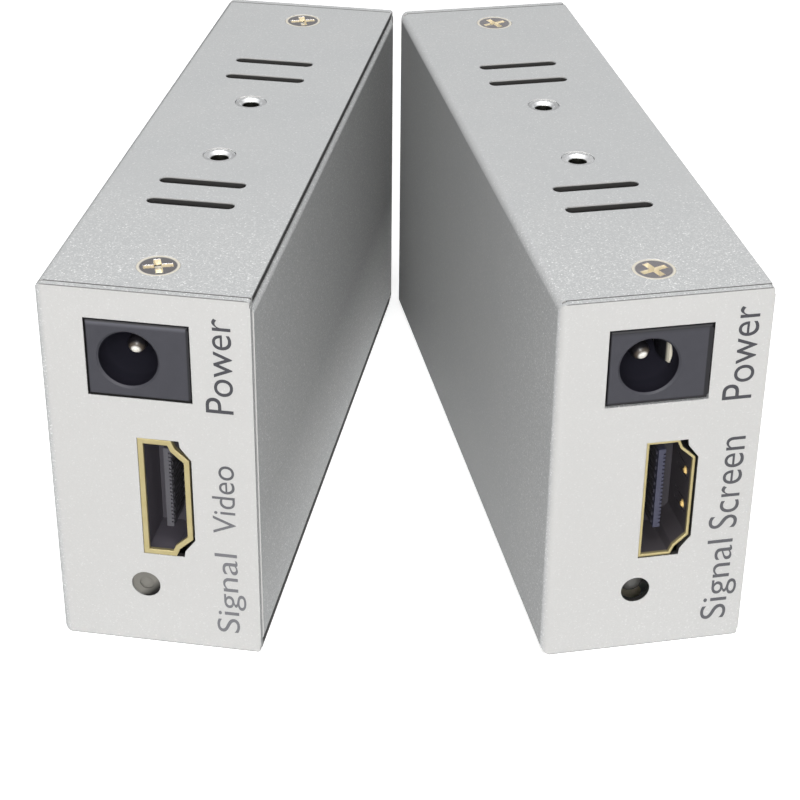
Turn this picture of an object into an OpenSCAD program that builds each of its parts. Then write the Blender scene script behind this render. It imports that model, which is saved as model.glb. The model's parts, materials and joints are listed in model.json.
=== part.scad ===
// A pair of sheet-metal converter boxes that carry a picture signal over a network cable:
// a transmitter and a receiver, each standing on a narrow side, sockets towards -Y.
// Each box is drawn in its own frame first: X runs from the cover's large face to the base,
// Y runs in from the socket end, and Z runs up across the narrow sides.

/* [Box] */
// Depth of a box, from the cover's large face to the base
box_thick = 23.3; // [22:0.1:28]
// Width of a box, between its narrow sides
box_width = 44.9; // [44:0.1:56]
// Length of a box, between its end faces
box_length = 86; // [82:1:120]
// Thickness of the sheet metal
sheet = 0.8; // [0.6:0.05:1.2]
// Outer radius of the bends in the sheet
bend_r = 1; // [1:0.05:2]

/* [Pair] */
// Gap between the inner far corners of the two boxes
far_gap = 0.8; // [0.5:0.1:40]
// Turn of the transmitter away from straight ahead
transmitter_splay = 9.4; // [0:0.1:30]
// Turn of the receiver away from straight ahead
receiver_splay = 11.2; // [0:0.1:30]
// How far the receiver stands in front of the transmitter
receiver_lead = 0.6; // [0:0.1:10]

/* [Vents and screws] */
// Distance from the cover's large face to the row of slots and nuts
row_drop = 11.3; // [10:0.1:13]
// Distance from the cover's large face to the cover screws
screw_drop = 11.8; // [10:0.1:13]
// Length of a vent slot
slot_long = 10.1; // [6:0.1:12]
// Width of a vent slot
slot_wide = 1.7; // [1:0.1:2]
// Distance from mid length to the inner slot
slot_start = 15.9; // [15:0.1:17.5]
// Distance between the two slots of a pair
slot_pitch = 5.5; // [3:0.1:6]
// Distance between the two bracket nuts of a side
nut_pitch = 16.1; // [14:0.1:17]
// Distance from a box's end to its cover screws
screw_inset = 6.2; // [5:0.1:7]
// Diameter of a cover screw's head
screw_head_d = 4.7; // [4.2:0.1:5.2]
// Diameter of a cover screw's thread
screw_d = 2.9; // [2:0.1:3]
// Length of a cover screw
screw_long = 3.2; // [3:0.1:4]

/* [Sockets] */
// Height of the power jack's housing above the board
jack_tall = 11.2; // [10:0.1:12]
// Width of the power jack's housing
jack_wide = 9.1; // [8.6:0.1:9.6]
// Length of the power jack's housing
jack_deep = 14.2; // [13.6:0.1:15]
// Bore of the power jack
jack_bore_d = 6.4; // [6:0.1:6.6]
// Diameter of the power jack's pin
jack_pin_d = 2; // [1.3:0.1:2.5]
// Width of the picture socket's rim
hdmi_wide = 15; // [14.4:0.1:15.6]
// Height of the picture socket's rim
hdmi_tall = 5.65; // [5.5:0.05:6.2]
// Length of the picture socket's shell
hdmi_deep = 11.4; // [10.5:0.1:12]
// Width of the network socket
lan_wide = 16; // [15:0.1:17]
// Height of the network socket above the board
lan_tall = 13.4; // [13:0.1:14]
// Length of the network socket
lan_deep = 18; // [17:0.1:20]
// Diameter of the status lamp
led_d = 3; // [2.8:0.1:3.1]

/* [Hidden] */
UNITS = ["transmitter", "receiver"];
PIECES = [
  "cover", "base_plate", "cover_screws", "bracket_nuts", "main_board", "board_standoffs", "board_screws",
  "jack_housing", "jack_pin", "jack_spring", "jack_terminals", "hdmi_shell", "hdmi_insulator",
  "hdmi_contacts", "status_led", "led_legs", "lan_shield", "lan_housing", "lan_contacts",
  "lan_terminals", "lan_lamps", "main_chip", "line_transformer", "capacitors", "power_inductor",
  "crystal", "voltage_regulator"
];
NODES = [for (unit = UNITS, piece = PIECES) str(unit, "_", piece)];
node = "all";
$fn = 48;

// Clearances and overruns
overrun = 1;
fit_gap = 0.1;
slip = 0.05;

// Cover and base: both kinds of flange nearly reach the base's large face
side_edge_share = 0.25;
side_edge = bend_r * side_edge_share;
end_edge = 0.15;
flange_corner = 0.5;
seam = 0.15;
relief_r = 0.25;
relief_in = 0.6;
tab_edge = 6;
tab_long = 12;
rail = 4.5;
base_in = sheet + fit_gap;

// Cover screws and bracket nuts
collar_r = 2.4;
collar_deep = 0.9;
recess_wide = 0.8;
recess_long = 3.2;
recess_deep = 1.1;
recess_turn = 20;
nut_spigot_r = 1.9;
nut_body_r = 2.9;
nut_body_tall = 1.5;
nut_bore_r = 1.05;
nut_chamfer = 0.4;
nut_recess = 0.12;

// Main board: the room over the tallest socket is a share of what the box leaves beside it
board_thick = 1.6;
transmitter_room_share = 0.334;
receiver_room_share = 0.383;
board_room = box_thick - 2 * sheet - board_thick - lan_tall;
transmitter_level = sheet + lan_tall + board_room * transmitter_room_share;
receiver_level = sheet + lan_tall + board_room * receiver_room_share;
board_gap = 0.9;
board_end_gap = 0.5;
post_r = 2.4;
post_bore_r = 1.2;
post_screw_r = 1.15;
post_head_r = 2.5;
post_head_tall = 1.6;
post_screw_share = 0.9;
post_side = 5.7;
post_near = 17.6;
post_far = 9;

// The end face: the jack, the picture socket and the lamp lie between the tips of the cover screws, and
// what they leave of that width is shared out
screw_clear = 0.45;
end_room = box_width - 2 * (screw_long + screw_clear) - jack_wide - hdmi_wide - led_d;
end_gap_shares = [0.481, 0.267];
jack_middle = box_width - screw_long - screw_clear - jack_wide / 2;
hdmi_middle = jack_middle - jack_wide / 2 - end_room * end_gap_shares[0] - hdmi_wide / 2;
led_middle = hdmi_middle - hdmi_wide / 2 - end_room * end_gap_shares[1] - led_d / 2;
window_gap = 0.12;

// Power jack
jack_rise = 6.7;
jack_round = 0.35;
jack_lip = 3.4;
jack_step = 0.5;
jack_bore_deep = 9.6;
jack_edge = 0.25;
jack_pin_start = 2.7;
jack_pin_tail_r = 0.7;
jack_pin_tail = 0.7;
strip = 0.4;
strip_wide = 2.6;
strip_start = 2.6;
strip_end = 11.4;
strip_offset = 2.95;
strip_bow = 0.6;
strip_slack = 0.25;
strip_travel = 0.7;
// The strip's way from its tip to its root: share of its length, and share of its bow outwards
strip_shares = [[0, 0], [0.1, -0.6], [0.2, -0.95], [0.3, -0.95], [0.4, -0.75], [0.75, 0.3], [1, 0.6]];
tab_wide = 2.4;
tab_thick = 0.5;
tab_reach = 1.3;
tab_depths = [6.6, 11.9, 15];

// Picture socket: a flared rim on a drawn shell, with a tongue of contacts
hdmi_lift = 0.6;
hdmi_wall = 0.3;
transmitter_rim = 0.6;
receiver_rim = 0.3;
transmitter_mouth = 0;
receiver_mouth = 0.2;
hdmi_rim_long = 0.5;
// Half of the rim's outline and of its window's, from the board side: share of the height, and of
// the half width
hdmi_half_shares = [[0, 0.68], [0.27, 0.867], [0.345, 1], [1, 1]];
hdmi_window_shares = [[0, 0.69], [0.205, 0.9], [0.222, 1], [1, 1]];
hdmi_window_side = 0.2;
tongue_wide = 10.2;
tongue_thick = 0.8;
tongue_start = 2.2;
tongue_rise = 2.7;
notch = 0.24;
insulator_start = 6.6;
contact_pitch = 1;
contact_wide = 0.4;
contact_thick = 0.14;
contact_count = 19;
contact_slack = 0.03;
contact_tail = 0.9;
finger_wide = 1.3;
finger_long = 3.6;
finger_slit = 0.25;
finger_start = 1.3;
finger_pitch = 4.4;
dimple_r = 0.45;
dimple_tip_r = 0.25;
dimple_tall = 0.22;
dimple_start = 2.1;

// Status lamp
led_rise = 6.3;
led_slack = 0.14;
led_long = 4.6;
led_flange_r = 1.85;
led_flange_long = 0.9;
transmitter_led_tip = 0.2;
receiver_led_tip = 1.1;
leg = 0.5;
leg_pitch = 2.54;
led_hole = 6.4;

// Network socket
lan_skin = 0.3;
lan_proud = 0.2;
lan_floor = 1.3;
lan_plug_wide = 11.8;
lan_plug_tall = 6.8;
lan_latch_wide = 6;
lan_latch_tall = 1.5;
lan_latch_key_wide = 3.6;
lan_latch_key_tall = 1.1;
lan_cavity_deep = 13;
lamp_wide = 2.8;
lamp_tall = 1.6;
lamp_deep = 4.5;
wire = 0.35;
wire_pitch = 1.02;
wire_count = 8;
wire_start = 2.4;
wire_end = 10.4;
wire_dip = 1.7;
wire_slot = 0.62;
wire_slack = 0.2;
wire_travel = 0.9;
pin_first = 10.5;
pin_step = 2.54;

// Chips and other components
chip = 14;
chip_tall = 1.4;
chip_leg = 1;
chip_leg_tall = 0.35;
chip_edge = 0.9;
transformer_long = 9.5;
transformer_wide = 15.5;
transformer_tall = 5.8;
can_r = 3.15;
can_tall = 7.4;
can_base = 0.9;
can_base_wide = 6.6;
can_gap = 0.3;
coil = 7;
coil_tall = 4;
coil_corner = 1;
crystal_long = 10.6;
crystal_wide = 4.4;
crystal_tall = 3.4;
regulator_long = 6.5;
regulator_wide = 6.1;
regulator_tall = 2.3;
regulator_tab = 1.5;
regulator_tab_tall = 0.6;

// Board outline, and where the parts on it stand: depth along the box, then height up the board
board_low = 2 * sheet + fit_gap + board_gap;
board_high = box_width - board_low;
board_start = sheet + board_end_gap;
board_end = box_length - board_start;
middle = box_width / 2;
// Three lanes run from the jack's tail to the network socket, and share out the room between their parts
lane_start = jack_deep + jack_pin_tail;
lane_end = box_length - lan_deep;
middle_gap_shares = [0.14, 0.4, 0.32];
middle_room = lane_end - lane_start - regulator_wide - regulator_tab - chip - transformer_long;
regulator_start = lane_start + regulator_tab + middle_room * middle_gap_shares[0];
chip_start = regulator_start + regulator_wide + middle_room * middle_gap_shares[1];
transformer_start = chip_start + chip + middle_room * middle_gap_shares[2];
low_gap_shares = [0.26, 0.13];
low_room = lane_end - lane_start - coil - crystal_long;
coil_start = lane_start + low_room * low_gap_shares[0];
crystal_start = coil_start + coil + low_room * low_gap_shares[1];
high_gap_shares = [0.154, 0.046];
high_room = lane_end - lane_start - 2 * can_base_wide;
can_start = lane_start + high_room * high_gap_shares[0];
can_pitch = can_base_wide + high_room * high_gap_shares[1];
regulator_place = [regulator_start + regulator_wide / 2, middle];
chip_place = [chip_start + chip / 2, middle];
transformer_place = [transformer_start + transformer_long / 2, middle];
can_place = [can_start + can_base_wide / 2, middle + chip / 2 + can_gap + can_base_wide / 2];
low_lane = (board_low + middle - chip / 2) / 2;
coil_place = [coil_start + coil / 2, low_lane + crystal_wide / 2];
crystal_place = [crystal_start + crystal_long / 2, low_lane];
post_places = [
  for (depth = [post_near, box_length - post_far], up = [post_side, box_width - post_side]) [depth, up]
];

// Where the boxes stand: the middle of the pair's own outline is at the origin
function turned(p, a) = [p[0] * cos(a) - p[1] * sin(a), p[0] * sin(a) + p[1] * cos(a)];
// The points and radii that can be outermost on one box: two bends, then the square edges
rounds = [[bend_r, bend_r, bend_r], [bend_r, box_length - bend_r, bend_r]];
function corners(level) = concat(rounds, [
  [box_thick - end_edge, 0, 0], [box_thick - end_edge, box_length, 0],
  [box_thick, base_in, 0], [box_thick, box_length - base_in, 0],
  [level - lan_tall, box_length + lan_proud, 0], [level, box_length + lan_proud, 0]
]);
transmitter_far = turned([box_thick, box_length], -transmitter_splay);
receiver_far = turned([0, box_length], receiver_splay);
transmitter_shift = [-far_gap / 2 - transmitter_far[0], -transmitter_far[1]];
receiver_shift = [far_gap / 2 - receiver_far[0], -receiver_lead - receiver_far[1]];
outline = concat(
  [for (c = corners(transmitter_level)) concat(turned(c, -transmitter_splay) + transmitter_shift, c[2])],
  [for (c = corners(receiver_level)) concat(turned(c, receiver_splay) + receiver_shift, c[2])]
);
middle_x = (min([for (p = outline) p[0] - p[2]]) + max([for (p = outline) p[0] + p[2]])) / 2;
middle_y = (min([for (p = outline) p[1] - p[2]]) + max([for (p = outline) p[1] + p[2]])) / 2;

module at_transmitter() {
  translate([transmitter_shift[0] - middle_x, transmitter_shift[1] - middle_y, 0])
    rotate([0, 0, -transmitter_splay]) children();
}

module at_receiver() {
  translate([receiver_shift[0] - middle_x, receiver_shift[1] - middle_y, 0])
    rotate([0, 0, receiver_splay]) children();
}

// Frames on a board: X is the height above its component face, Y is the depth, Z is across
module near_socket(level, up) {
  translate([level, 0, up]) rotate([0, 180, 0]) children();
}

module far_socket(level, up) {
  translate([level, box_length + lan_proud, up]) rotate([0, 0, 180]) children();
}

module on_board(level, place) {
  translate([level, place[0], place[1]]) rotate([0, 180, 0]) children();
}

// A flat shape in X and Z, drawn out along Y
module along_depth(from, to) {
  translate([0, to, 0]) rotate([90, 0, 0]) linear_extrude(to - from) children();
}

// A cylinder along Y, and a cone from one radius to another
module rod(r, from, to) {
  translate([0, from, 0]) rotate([-90, 0, 0]) cylinder(r = r, h = to - from);
}

module cone(r1, r2, from, to) {
  translate([0, from, 0]) rotate([-90, 0, 0]) cylinder(r1 = r1, r2 = r2, h = to - from);
}

// A block standing on the board, centred on its place
module chip_block(tall, long, wide, lift = 0) {
  translate([lift, -long / 2, -wide / 2]) cube([tall, long, wide]);
}

// A rectangle whose two corners at X = 0 are rounded
module bent_outline(x, y, r) {
  translate([r, 0]) square([x - r, y]);
  translate([0, r]) square([x, y - 2 * r]);
  translate([r, r]) circle(r);
  translate([r, y - r]) circle(r);
}

// A rectangle with four rounded corners, centred on the origin
module rounded_outline(x, y, r) {
  square([x - 2 * r, y], center = true);
  square([x, y - 2 * r], center = true);
  for (i = [-1, 1], j = [-1, 1]) translate([i * (x / 2 - r), j * (y / 2 - r)]) circle(r);
}

// The cover's outer form, or its hollow when set in by a sheet
module cover_form(inset, reach) {
  r = bend_r - inset;
  long = box_thick - inset + reach;
  intersection() {
    along_depth(inset, box_length - inset)
      translate([inset, inset]) bent_outline(long, box_width - 2 * inset, r);
    translate([inset, inset, 0])
      linear_extrude(box_width) bent_outline(long, box_length - 2 * inset, r);
  }
}

// Both narrow sides: the children are drawn on the upper one, Z = 0 at its face, and mirrored down
module both_sides() {
  translate([0, 0, box_width]) children();
  mirror([0, 0, 1]) children();
}

module both_ends() {
  children();
  translate([0, box_length, 0]) mirror([0, 1, 0]) children();
}

// Places along a narrow side
module at_screws() {
  for (depth = [screw_inset, box_length - screw_inset]) translate([screw_drop, depth, 0]) children();
}

module at_nuts() {
  for (side = [-1, 1]) translate([row_drop, box_length / 2 + side * nut_pitch / 2, 0]) children();
}

module slot_cuts() {
  for (side = [-1, 1], i = [0, 1])
    translate([row_drop, box_length / 2 + side * (slot_start + i * slot_pitch), -sheet - overrun])
      linear_extrude(sheet + 2 * overrun) rounded_outline(slot_long, slot_wide, slot_wide / 2 - slip);
}

// The countersunk space that a cover screw fills, with its clearance
module screw_cut() {
  head_r = screw_head_d / 2 + slip;
  thread_r = screw_d / 2 + slip;
  translate([0, 0, -screw_long - overrun]) cylinder(r = thread_r, h = screw_long + 2 * overrun);
  translate([0, 0, thread_r - head_r]) cylinder(r1 = thread_r, r2 = head_r, h = head_r - thread_r);
  cylinder(r = head_r, h = overrun);
}

// A closed outline with each of its sides moved inwards by d, or outwards if d is below zero
function inset_outline(points, d) = [
  for (i = [0 : len(points) - 1]) let (
    last = len(points) - 1,
    before = points[i == 0 ? last : i - 1],
    after = points[i == last ? 0 : i + 1],
    along_in = (points[i] - before) / norm(points[i] - before),
    along_out = (after - points[i]) / norm(after - points[i]),
    turned_in = [-along_in[1], along_in[0]],
    turned_out = [-along_out[1], along_out[0]]
  ) points[i] + d * (turned_in + turned_out) / (1 + along_in * along_out)
];

// Both halves of a socket's outline: the wide side is away from the board
function socket_points(shares, tall, wide) = concat(
  [for (s = shares) [s[0] * tall, -s[1] * wide / 2]],
  [for (i = [len(shares) - 1 : -1 : 0]) [shares[i][0] * tall, shares[i][1] * wide / 2]]
);

module hdmi_outline(inset) {
  translate([hdmi_lift, 0])
    polygon(inset_outline(socket_points(hdmi_half_shares, hdmi_tall, hdmi_wide), inset));
}

module hdmi_window_outline() {
  translate([hdmi_lift - hdmi_window_side, 0])
    polygon(inset_outline(
      socket_points(hdmi_window_shares, hdmi_tall + hdmi_window_side, hdmi_wide), -fit_gap / 2
    ));
}

// Sheet-metal cover: the large face, both narrow sides and both ends, bent from one blank
module cover(level) {
  color("#c3c6c6") difference() {
    cover_form(0, 0);
    cover_form(sheet, overrun);
    both_sides() {
      // free edge of the side flange, along the base
      translate([box_thick - side_edge, -overrun, -sheet])
        cube([side_edge + overrun, box_length + 2 * overrun, sheet + overrun]);
      slot_cuts();
      at_screws() screw_cut();
      at_nuts() translate([0, 0, -sheet - overrun])
        cylinder(r = nut_spigot_r + slip, h = sheet + 2 * overrun);
    }
    both_ends() {
      // free edge of the end flange, along the base
      translate([box_thick - end_edge, -overrun, -overrun])
        cube([end_edge + overrun, sheet + overrun + fit_gap, box_width + 2 * overrun]);
      both_sides() {
        // seam between the end flange and the side flange behind it, from a relief hole in the corner
        translate([relief_in, sheet, -sheet]) cube([box_thick, seam, sheet + overrun]);
        translate([relief_in, sheet + seam / 2, -sheet]) cylinder(r = relief_r, h = sheet + overrun);
        // rounded corner of the end flange
        translate([box_thick - end_edge - flange_corner, 0, -flange_corner]) difference() {
          translate([0, -overrun, 0])
            cube([flange_corner + overrun, sheet + overrun, flange_corner + overrun]);
          rod(flange_corner, -2 * overrun, sheet + overrun);
        }
      }
    }
    jack_window(level);
    near_socket(level, hdmi_middle)
      along_depth(-overrun, sheet + overrun) hdmi_window_outline();
    near_socket(level, led_middle) translate([led_rise, 0, 0])
      rod(led_d / 2 + led_slack, -overrun, sheet + overrun);
    far_socket(level, middle) translate([-fit_gap, -overrun, -lan_wide / 2 - fit_gap])
      cube([lan_tall + 2 * fit_gap, lan_proud + sheet + 2 * overrun, lan_wide + 2 * fit_gap]);
  }
}

module jack_window(level) {
  near_socket(level, jack_middle)
    translate([-window_gap, -overrun, -jack_wide / 2 - window_gap])
      cube([jack_tall + 2 * window_gap, sheet + 2 * overrun, jack_wide + 2 * window_gap]);
}

// Sheet-metal base: a large plate with bent side flanges that lie inside the cover's
module base_outline(inset) {
  translate([box_thick - inset, base_in + inset]) mirror([1, 0])
    bent_outline(box_thick - tab_edge - inset, box_width - 2 * base_in - 2 * inset, bend_r - inset);
}

module base_plate() {
  tabs = [base_in + tab_long, box_length / 2 - tab_long, box_length / 2 + tab_long,
    box_length - base_in - tab_long];
  color("#b6b9b9") difference() {
    union() {
      difference() {
        along_depth(base_in, box_length - base_in) base_outline(0);
        translate([0, -overrun, 0]) along_depth(0, box_length + 2 * overrun) base_outline(sheet);
        translate([tab_edge - overrun, 0, base_in + sheet])
          cube([2 * overrun, box_length, box_width - 2 * base_in - 2 * sheet]);
        // the flanges are cut away between their tabs, behind the vent slots
        for (i = [0, 2]) translate([0, tabs[i], 0])
          cube([box_thick - rail, tabs[i + 1] - tabs[i], box_width]);
      }
      both_sides() at_screws()
        translate([0, 0, -base_in - sheet - collar_deep]) cylinder(r = collar_r, h = collar_deep);
    }
    both_sides() {
      at_screws() screw_cut();
      at_nuts() translate([0, 0, -base_in - sheet - overrun])
        cylinder(r = nut_spigot_r + slip, h = sheet + 2 * overrun);
    }
  }
}

// A cross recess cut into a screw head that faces +Z
module cross_recess() {
  for (a = [0, 90]) rotate([0, 0, a])
    translate([-recess_long / 2, -recess_wide / 2, -recess_deep])
      cube([recess_long, recess_wide, recess_deep + overrun]);
}

// Four countersunk screws, two through each narrow side
module cover_screws() {
  head_r = screw_head_d / 2;
  head_tall = head_r - screw_d / 2;
  color("#d6cfbd") both_sides() at_screws() difference() {
    union() {
      translate([0, 0, -screw_long]) cylinder(r = screw_d / 2, h = screw_long - head_tall);
      translate([0, 0, -head_tall - slip]) cylinder(r1 = screw_d / 2, r2 = head_r, h = head_tall);
    }
    rotate([0, 0, recess_turn]) cross_recess();
  }
}

// Four pressed-in nuts that take the screws of a wall bracket
module bracket_nuts() {
  seat = base_in + sheet;
  color("#d9d8d2") both_sides() at_nuts() difference() {
    union() {
      translate([0, 0, -seat]) cylinder(r = nut_spigot_r, h = seat - nut_recess);
      translate([0, 0, -seat - nut_body_tall]) cylinder(r = nut_body_r, h = nut_body_tall);
    }
    translate([0, 0, -seat - nut_body_tall - overrun])
      cylinder(r = nut_bore_r, h = seat + nut_body_tall + 2 * overrun);
    translate([0, 0, -nut_recess - nut_chamfer])
      cylinder(r1 = nut_bore_r, r2 = nut_bore_r + nut_chamfer, h = nut_chamfer);
  }
}

// Circuit board with its fixing holes and the slots for the jack's terminals
module main_board(level) {
  color("#2c6a4a") difference() {
    translate([level, board_start, board_low])
      cube([board_thick, board_end - board_start, board_high - board_low]);
    for (place = post_places) on_board(level, place) translate([-board_thick - overrun, 0, 0])
      rotate([0, 90, 0]) cylinder(r = post_screw_r + slip, h = board_thick + 2 * overrun);
    near_socket(level, jack_middle) jack_tabs(fit_gap);
    near_socket(level, led_middle) led_leg_drops(fit_gap);
    far_socket(level, middle) lan_pins(fit_gap);
  }
}

// Four threaded posts pressed into the base
function post_tall(level) = box_thick - sheet - level - board_thick;

module board_standoffs(level) {
  back = level + board_thick;
  tall = post_tall(level);
  color("#c8c8c4") for (place = post_places) translate([back, place[0], place[1]])
    rotate([0, 90, 0]) difference() {
      cylinder(r = post_r, h = tall);
      translate([0, 0, -overrun]) cylinder(r = post_bore_r, h = tall + overrun - sheet);
    }
}

// Four round-headed screws that hold the board to its posts
module board_screws(level) {
  long = board_thick + (post_tall(level) - sheet) * post_screw_share;
  color("#cfcfca") for (place = post_places) translate([level, place[0], place[1]])
    rotate([0, -90, 0]) difference() {
      union() {
        cylinder(r = post_head_r, h = post_head_tall);
        translate([0, 0, -long]) cylinder(r = post_screw_r, h = long);
      }
      translate([0, 0, post_head_tall]) cross_recess();
    }
}

// Power jack housing: a thick lip at the front, a round bore, and a channel for the spring
module jack_housing(level) {
  bore_r = jack_bore_d / 2;
  color("#3a3a3e") near_socket(level, jack_middle) difference() {
    union() {
      // the lip is rounded along its four front edges
      intersection() {
        translate([0, 0, -jack_wide / 2]) linear_extrude(jack_wide) rotate([0, 0, 90])
          mirror([0, 1]) bent_outline(jack_lip, jack_tall, jack_round);
        rotate([90, 0, 90]) linear_extrude(jack_tall) translate([0, -jack_wide / 2])
          bent_outline(jack_lip, jack_wide, jack_round);
      }
      translate([0, 0, jack_step - jack_wide / 2])
        cube([jack_tall - 2 * jack_step, jack_deep, jack_wide - 2 * jack_step]);
    }
    translate([jack_rise, 0, 0]) {
      rod(bore_r, -overrun, jack_bore_deep);
      cone(bore_r + jack_edge, bore_r, 0, jack_edge);
      rod(jack_pin_tail_r + slip, 0, jack_deep + overrun);
    }
    strip_channel();
    jack_tabs(fit_gap / 2);
  }
}

// Space that the spring moves in, open to the bore
module strip_channel() {
  deep = strip_offset + strip + strip_travel + strip_slack;
  translate([jack_rise - deep, strip_start - strip_slack, -strip_wide / 2 - strip_slack])
    cube([deep, strip_end - strip_start + 2 * strip_slack, strip_wide + 2 * strip_slack]);
}

// Centre pin of the power jack, with a round nose and a riveted tail
module jack_pin(level) {
  r = jack_pin_d / 2;
  color("#c9c4b8") near_socket(level, jack_middle) translate([jack_rise, 0, 0]) {
    translate([0, jack_pin_start + r, 0]) sphere(r);
    rod(r, jack_pin_start + r, jack_bore_deep);
    rod(jack_pin_tail_r, jack_bore_deep - slip, jack_deep + jack_pin_tail);
  }
}

// Leaf spring of the power jack: it bows into the bore and swings outwards about its root
module jack_spring(level) {
  long = strip_end - strip_start;
  line = [for (s = strip_shares) [jack_rise - strip_offset - s[1] * strip_bow, strip_start + s[0] * long]];
  back = [for (i = [len(line) - 1 : -1 : 0]) line[i] - [strip, 0]];
  color("#d8d2c0") near_socket(level, jack_middle)
    translate([0, 0, -strip_wide / 2]) linear_extrude(strip_wide) polygon(concat(line, back));
}

// Solder tabs of the power jack, through the board
module jack_tabs(grow) {
  wide = tab_wide + 2 * grow;
  thick = tab_thick + 2 * grow;
  // the rearmost tab stands up to the pin, and the others end inside the housing
  for (depth = tab_depths) {
    rise = depth == max(tab_depths) ? jack_rise : jack_step;
    translate([-board_thick - tab_reach, depth - thick / 2, -wide / 2])
      cube([board_thick + tab_reach + rise + grow, thick, wide]);
  }
}

module jack_terminals(level) {
  color("#cfcbc0") near_socket(level, jack_middle) difference() {
    jack_tabs(0);
    translate([jack_rise, 0, 0]) rod(jack_pin_tail_r + slip, 0, jack_deep + 2 * overrun);
  }
}

// Drawn shell of the picture socket: its mouth is turned into a flat rim, as wide as rim says
module hdmi_shell(level, rim, mouth) {
  floor_in = hdmi_lift + hdmi_wall;
  color("#d8c38a") near_socket(level, hdmi_middle) {
    difference() {
      along_depth(mouth, hdmi_deep) hdmi_outline(0);
      along_depth(mouth - overrun, mouth + hdmi_rim_long) hdmi_outline(rim);
      along_depth(mouth + hdmi_rim_long - slip, hdmi_deep - hdmi_wall) hdmi_outline(hdmi_wall);
      // the solder tails come out under the back wall
      translate([0, hdmi_deep - hdmi_wall - slip, -tongue_wide / 2])
        cube([tongue_rise + floor_in + tongue_thick, hdmi_wall + overrun, tongue_wide]);
      // two spring fingers are slit free in the side next to the board
      at_fingers() {
        for (edge = [-1, 1]) translate([0, finger_start, edge * finger_wide / 2 - finger_slit / 2])
          cube([floor_in + overrun, finger_long, finger_slit]);
        translate([0, finger_start, -finger_wide / 2]) cube([floor_in + overrun, finger_slit, finger_wide]);
      }
    }
    // each finger has a dimple that presses on the plug
    at_fingers() translate([floor_in - slip, dimple_start, 0]) rotate([0, 90, 0])
      cylinder(r1 = dimple_r, r2 = dimple_tip_r, h = dimple_tall + slip);
  }
}

module at_fingers() {
  for (side = [-1, 1]) translate([0, 0, side * finger_pitch / 2]) children();
}

module tongue_block(rise) {
  translate([rise, tongue_start, -tongue_wide / 2]) cube([tongue_thick, hdmi_deep / 2, tongue_wide]);
}

// Insulator of the picture socket: a block at the back of the shell with a thin tongue
module hdmi_insulator(level) {
  rise = hdmi_lift + tongue_rise;
  color("#2b2b2d") near_socket(level, hdmi_middle) difference() {
    union() {
      tongue_block(rise);
      along_depth(insulator_start, hdmi_deep - hdmi_wall - slip) hdmi_outline(hdmi_wall + slip);
    }
    hdmi_pins(contact_slack);
    // a row of notches in the tongue's front edge
    for (i = [0 : contact_count - 1])
      translate([rise - overrun, tongue_start - overrun, contact_across(i) - notch / 2])
        cube([notch + overrun, notch + overrun, notch]);
  }
}

// Place of a contact across the picture socket, from its middle
function contact_across(i) = (i - (contact_count - 1) / 2) * contact_pitch / 2;

// Contacts of the picture socket: two staggered rows, above and below the tongue
module hdmi_pins(grow) {
  rise = hdmi_lift + tongue_rise;
  for (i = [0 : contact_count - 1]) {
    upper = i % 2 == 0;
    across = contact_across(i);
    low = upper ? rise + tongue_thick : rise - contact_thick;
    back = hdmi_deep + contact_tail;
    wide = contact_wide + 2 * grow;
    translate([low - grow, tongue_start + contact_wide, across - wide / 2])
      cube([contact_thick + 2 * grow, back - tongue_start - contact_wide, wide]);
    translate([0, back - contact_thick, across - wide / 2])
      cube([low + contact_thick, contact_thick, wide]);
  }
}

module hdmi_contacts(level) {
  color("#d9b55f") near_socket(level, hdmi_middle) hdmi_pins(0);
}

// Status lamp: a round-nosed lens with a flange, behind its hole in the end face
module status_led(level, tip) {
  r = led_d / 2;
  color("#8d9496") near_socket(level, led_middle) translate([led_rise, tip, 0]) {
    intersection() {
      translate([0, r, 0]) sphere(r);
      rod(r, 0, r);
    }
    rod(r, r, led_long);
    rod(led_flange_r, led_long - led_flange_long, led_long);
  }
}

module led_leg_drops(grow) {
  for (side = [-1, 1])
    translate([-board_thick - tab_reach, led_hole - grow, side * leg_pitch / 2 - leg / 2 - grow])
      cube([led_rise + leg / 2 + board_thick + tab_reach, leg + 2 * grow, leg + 2 * grow]);
}

// Legs of the status lamp: straight back, then down through the board
module led_legs(level, tip) {
  color("#c9c9c4") near_socket(level, led_middle) {
    for (side = [-1, 1])
      translate([led_rise - leg / 2, tip + led_long, side * leg_pitch / 2 - leg / 2])
        cube([leg, led_hole + leg - tip - led_long, leg]);
    led_leg_drops(0);
  }
}

// Outline of the space for a plug: wide part, latch step and latch key, from the top down
module plug_outline() {
  top = lan_floor + lan_latch_key_tall + lan_latch_tall;
  translate([top, -lan_plug_wide / 2]) square([lan_plug_tall, lan_plug_wide]);
  translate([top - lan_latch_tall, -lan_latch_wide / 2])
    square([lan_latch_tall + slip, lan_latch_wide]);
  translate([top - lan_latch_tall - lan_latch_key_tall, -lan_latch_key_wide / 2])
    square([lan_latch_key_tall + slip, lan_latch_key_wide]);
}

module at_lamps() {
  for (side = [-1, 1]) translate([lan_tall - lan_skin - fit_gap - lamp_tall, 0,
    side * (lan_wide / 2 - lan_skin - fit_gap - lamp_wide / 2) - lamp_wide / 2]) children();
}

// Metal skin of the network socket: a folded box, open below, with a window round the mouth
module lan_shield(level) {
  color("#c9cbcc") far_socket(level, middle) difference() {
    translate([0, 0, -lan_wide / 2]) cube([lan_tall, lan_deep, lan_wide]);
    translate([-overrun, lan_skin, lan_skin - lan_wide / 2])
      cube([lan_tall - lan_skin + overrun, lan_deep - 2 * lan_skin, lan_wide - 2 * lan_skin]);
    along_depth(-overrun, lan_skin + overrun) plug_outline();
    at_lamps() translate([0, -overrun, 0]) cube([lamp_tall, lan_skin + 2 * overrun, lamp_wide]);
  }
}

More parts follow.
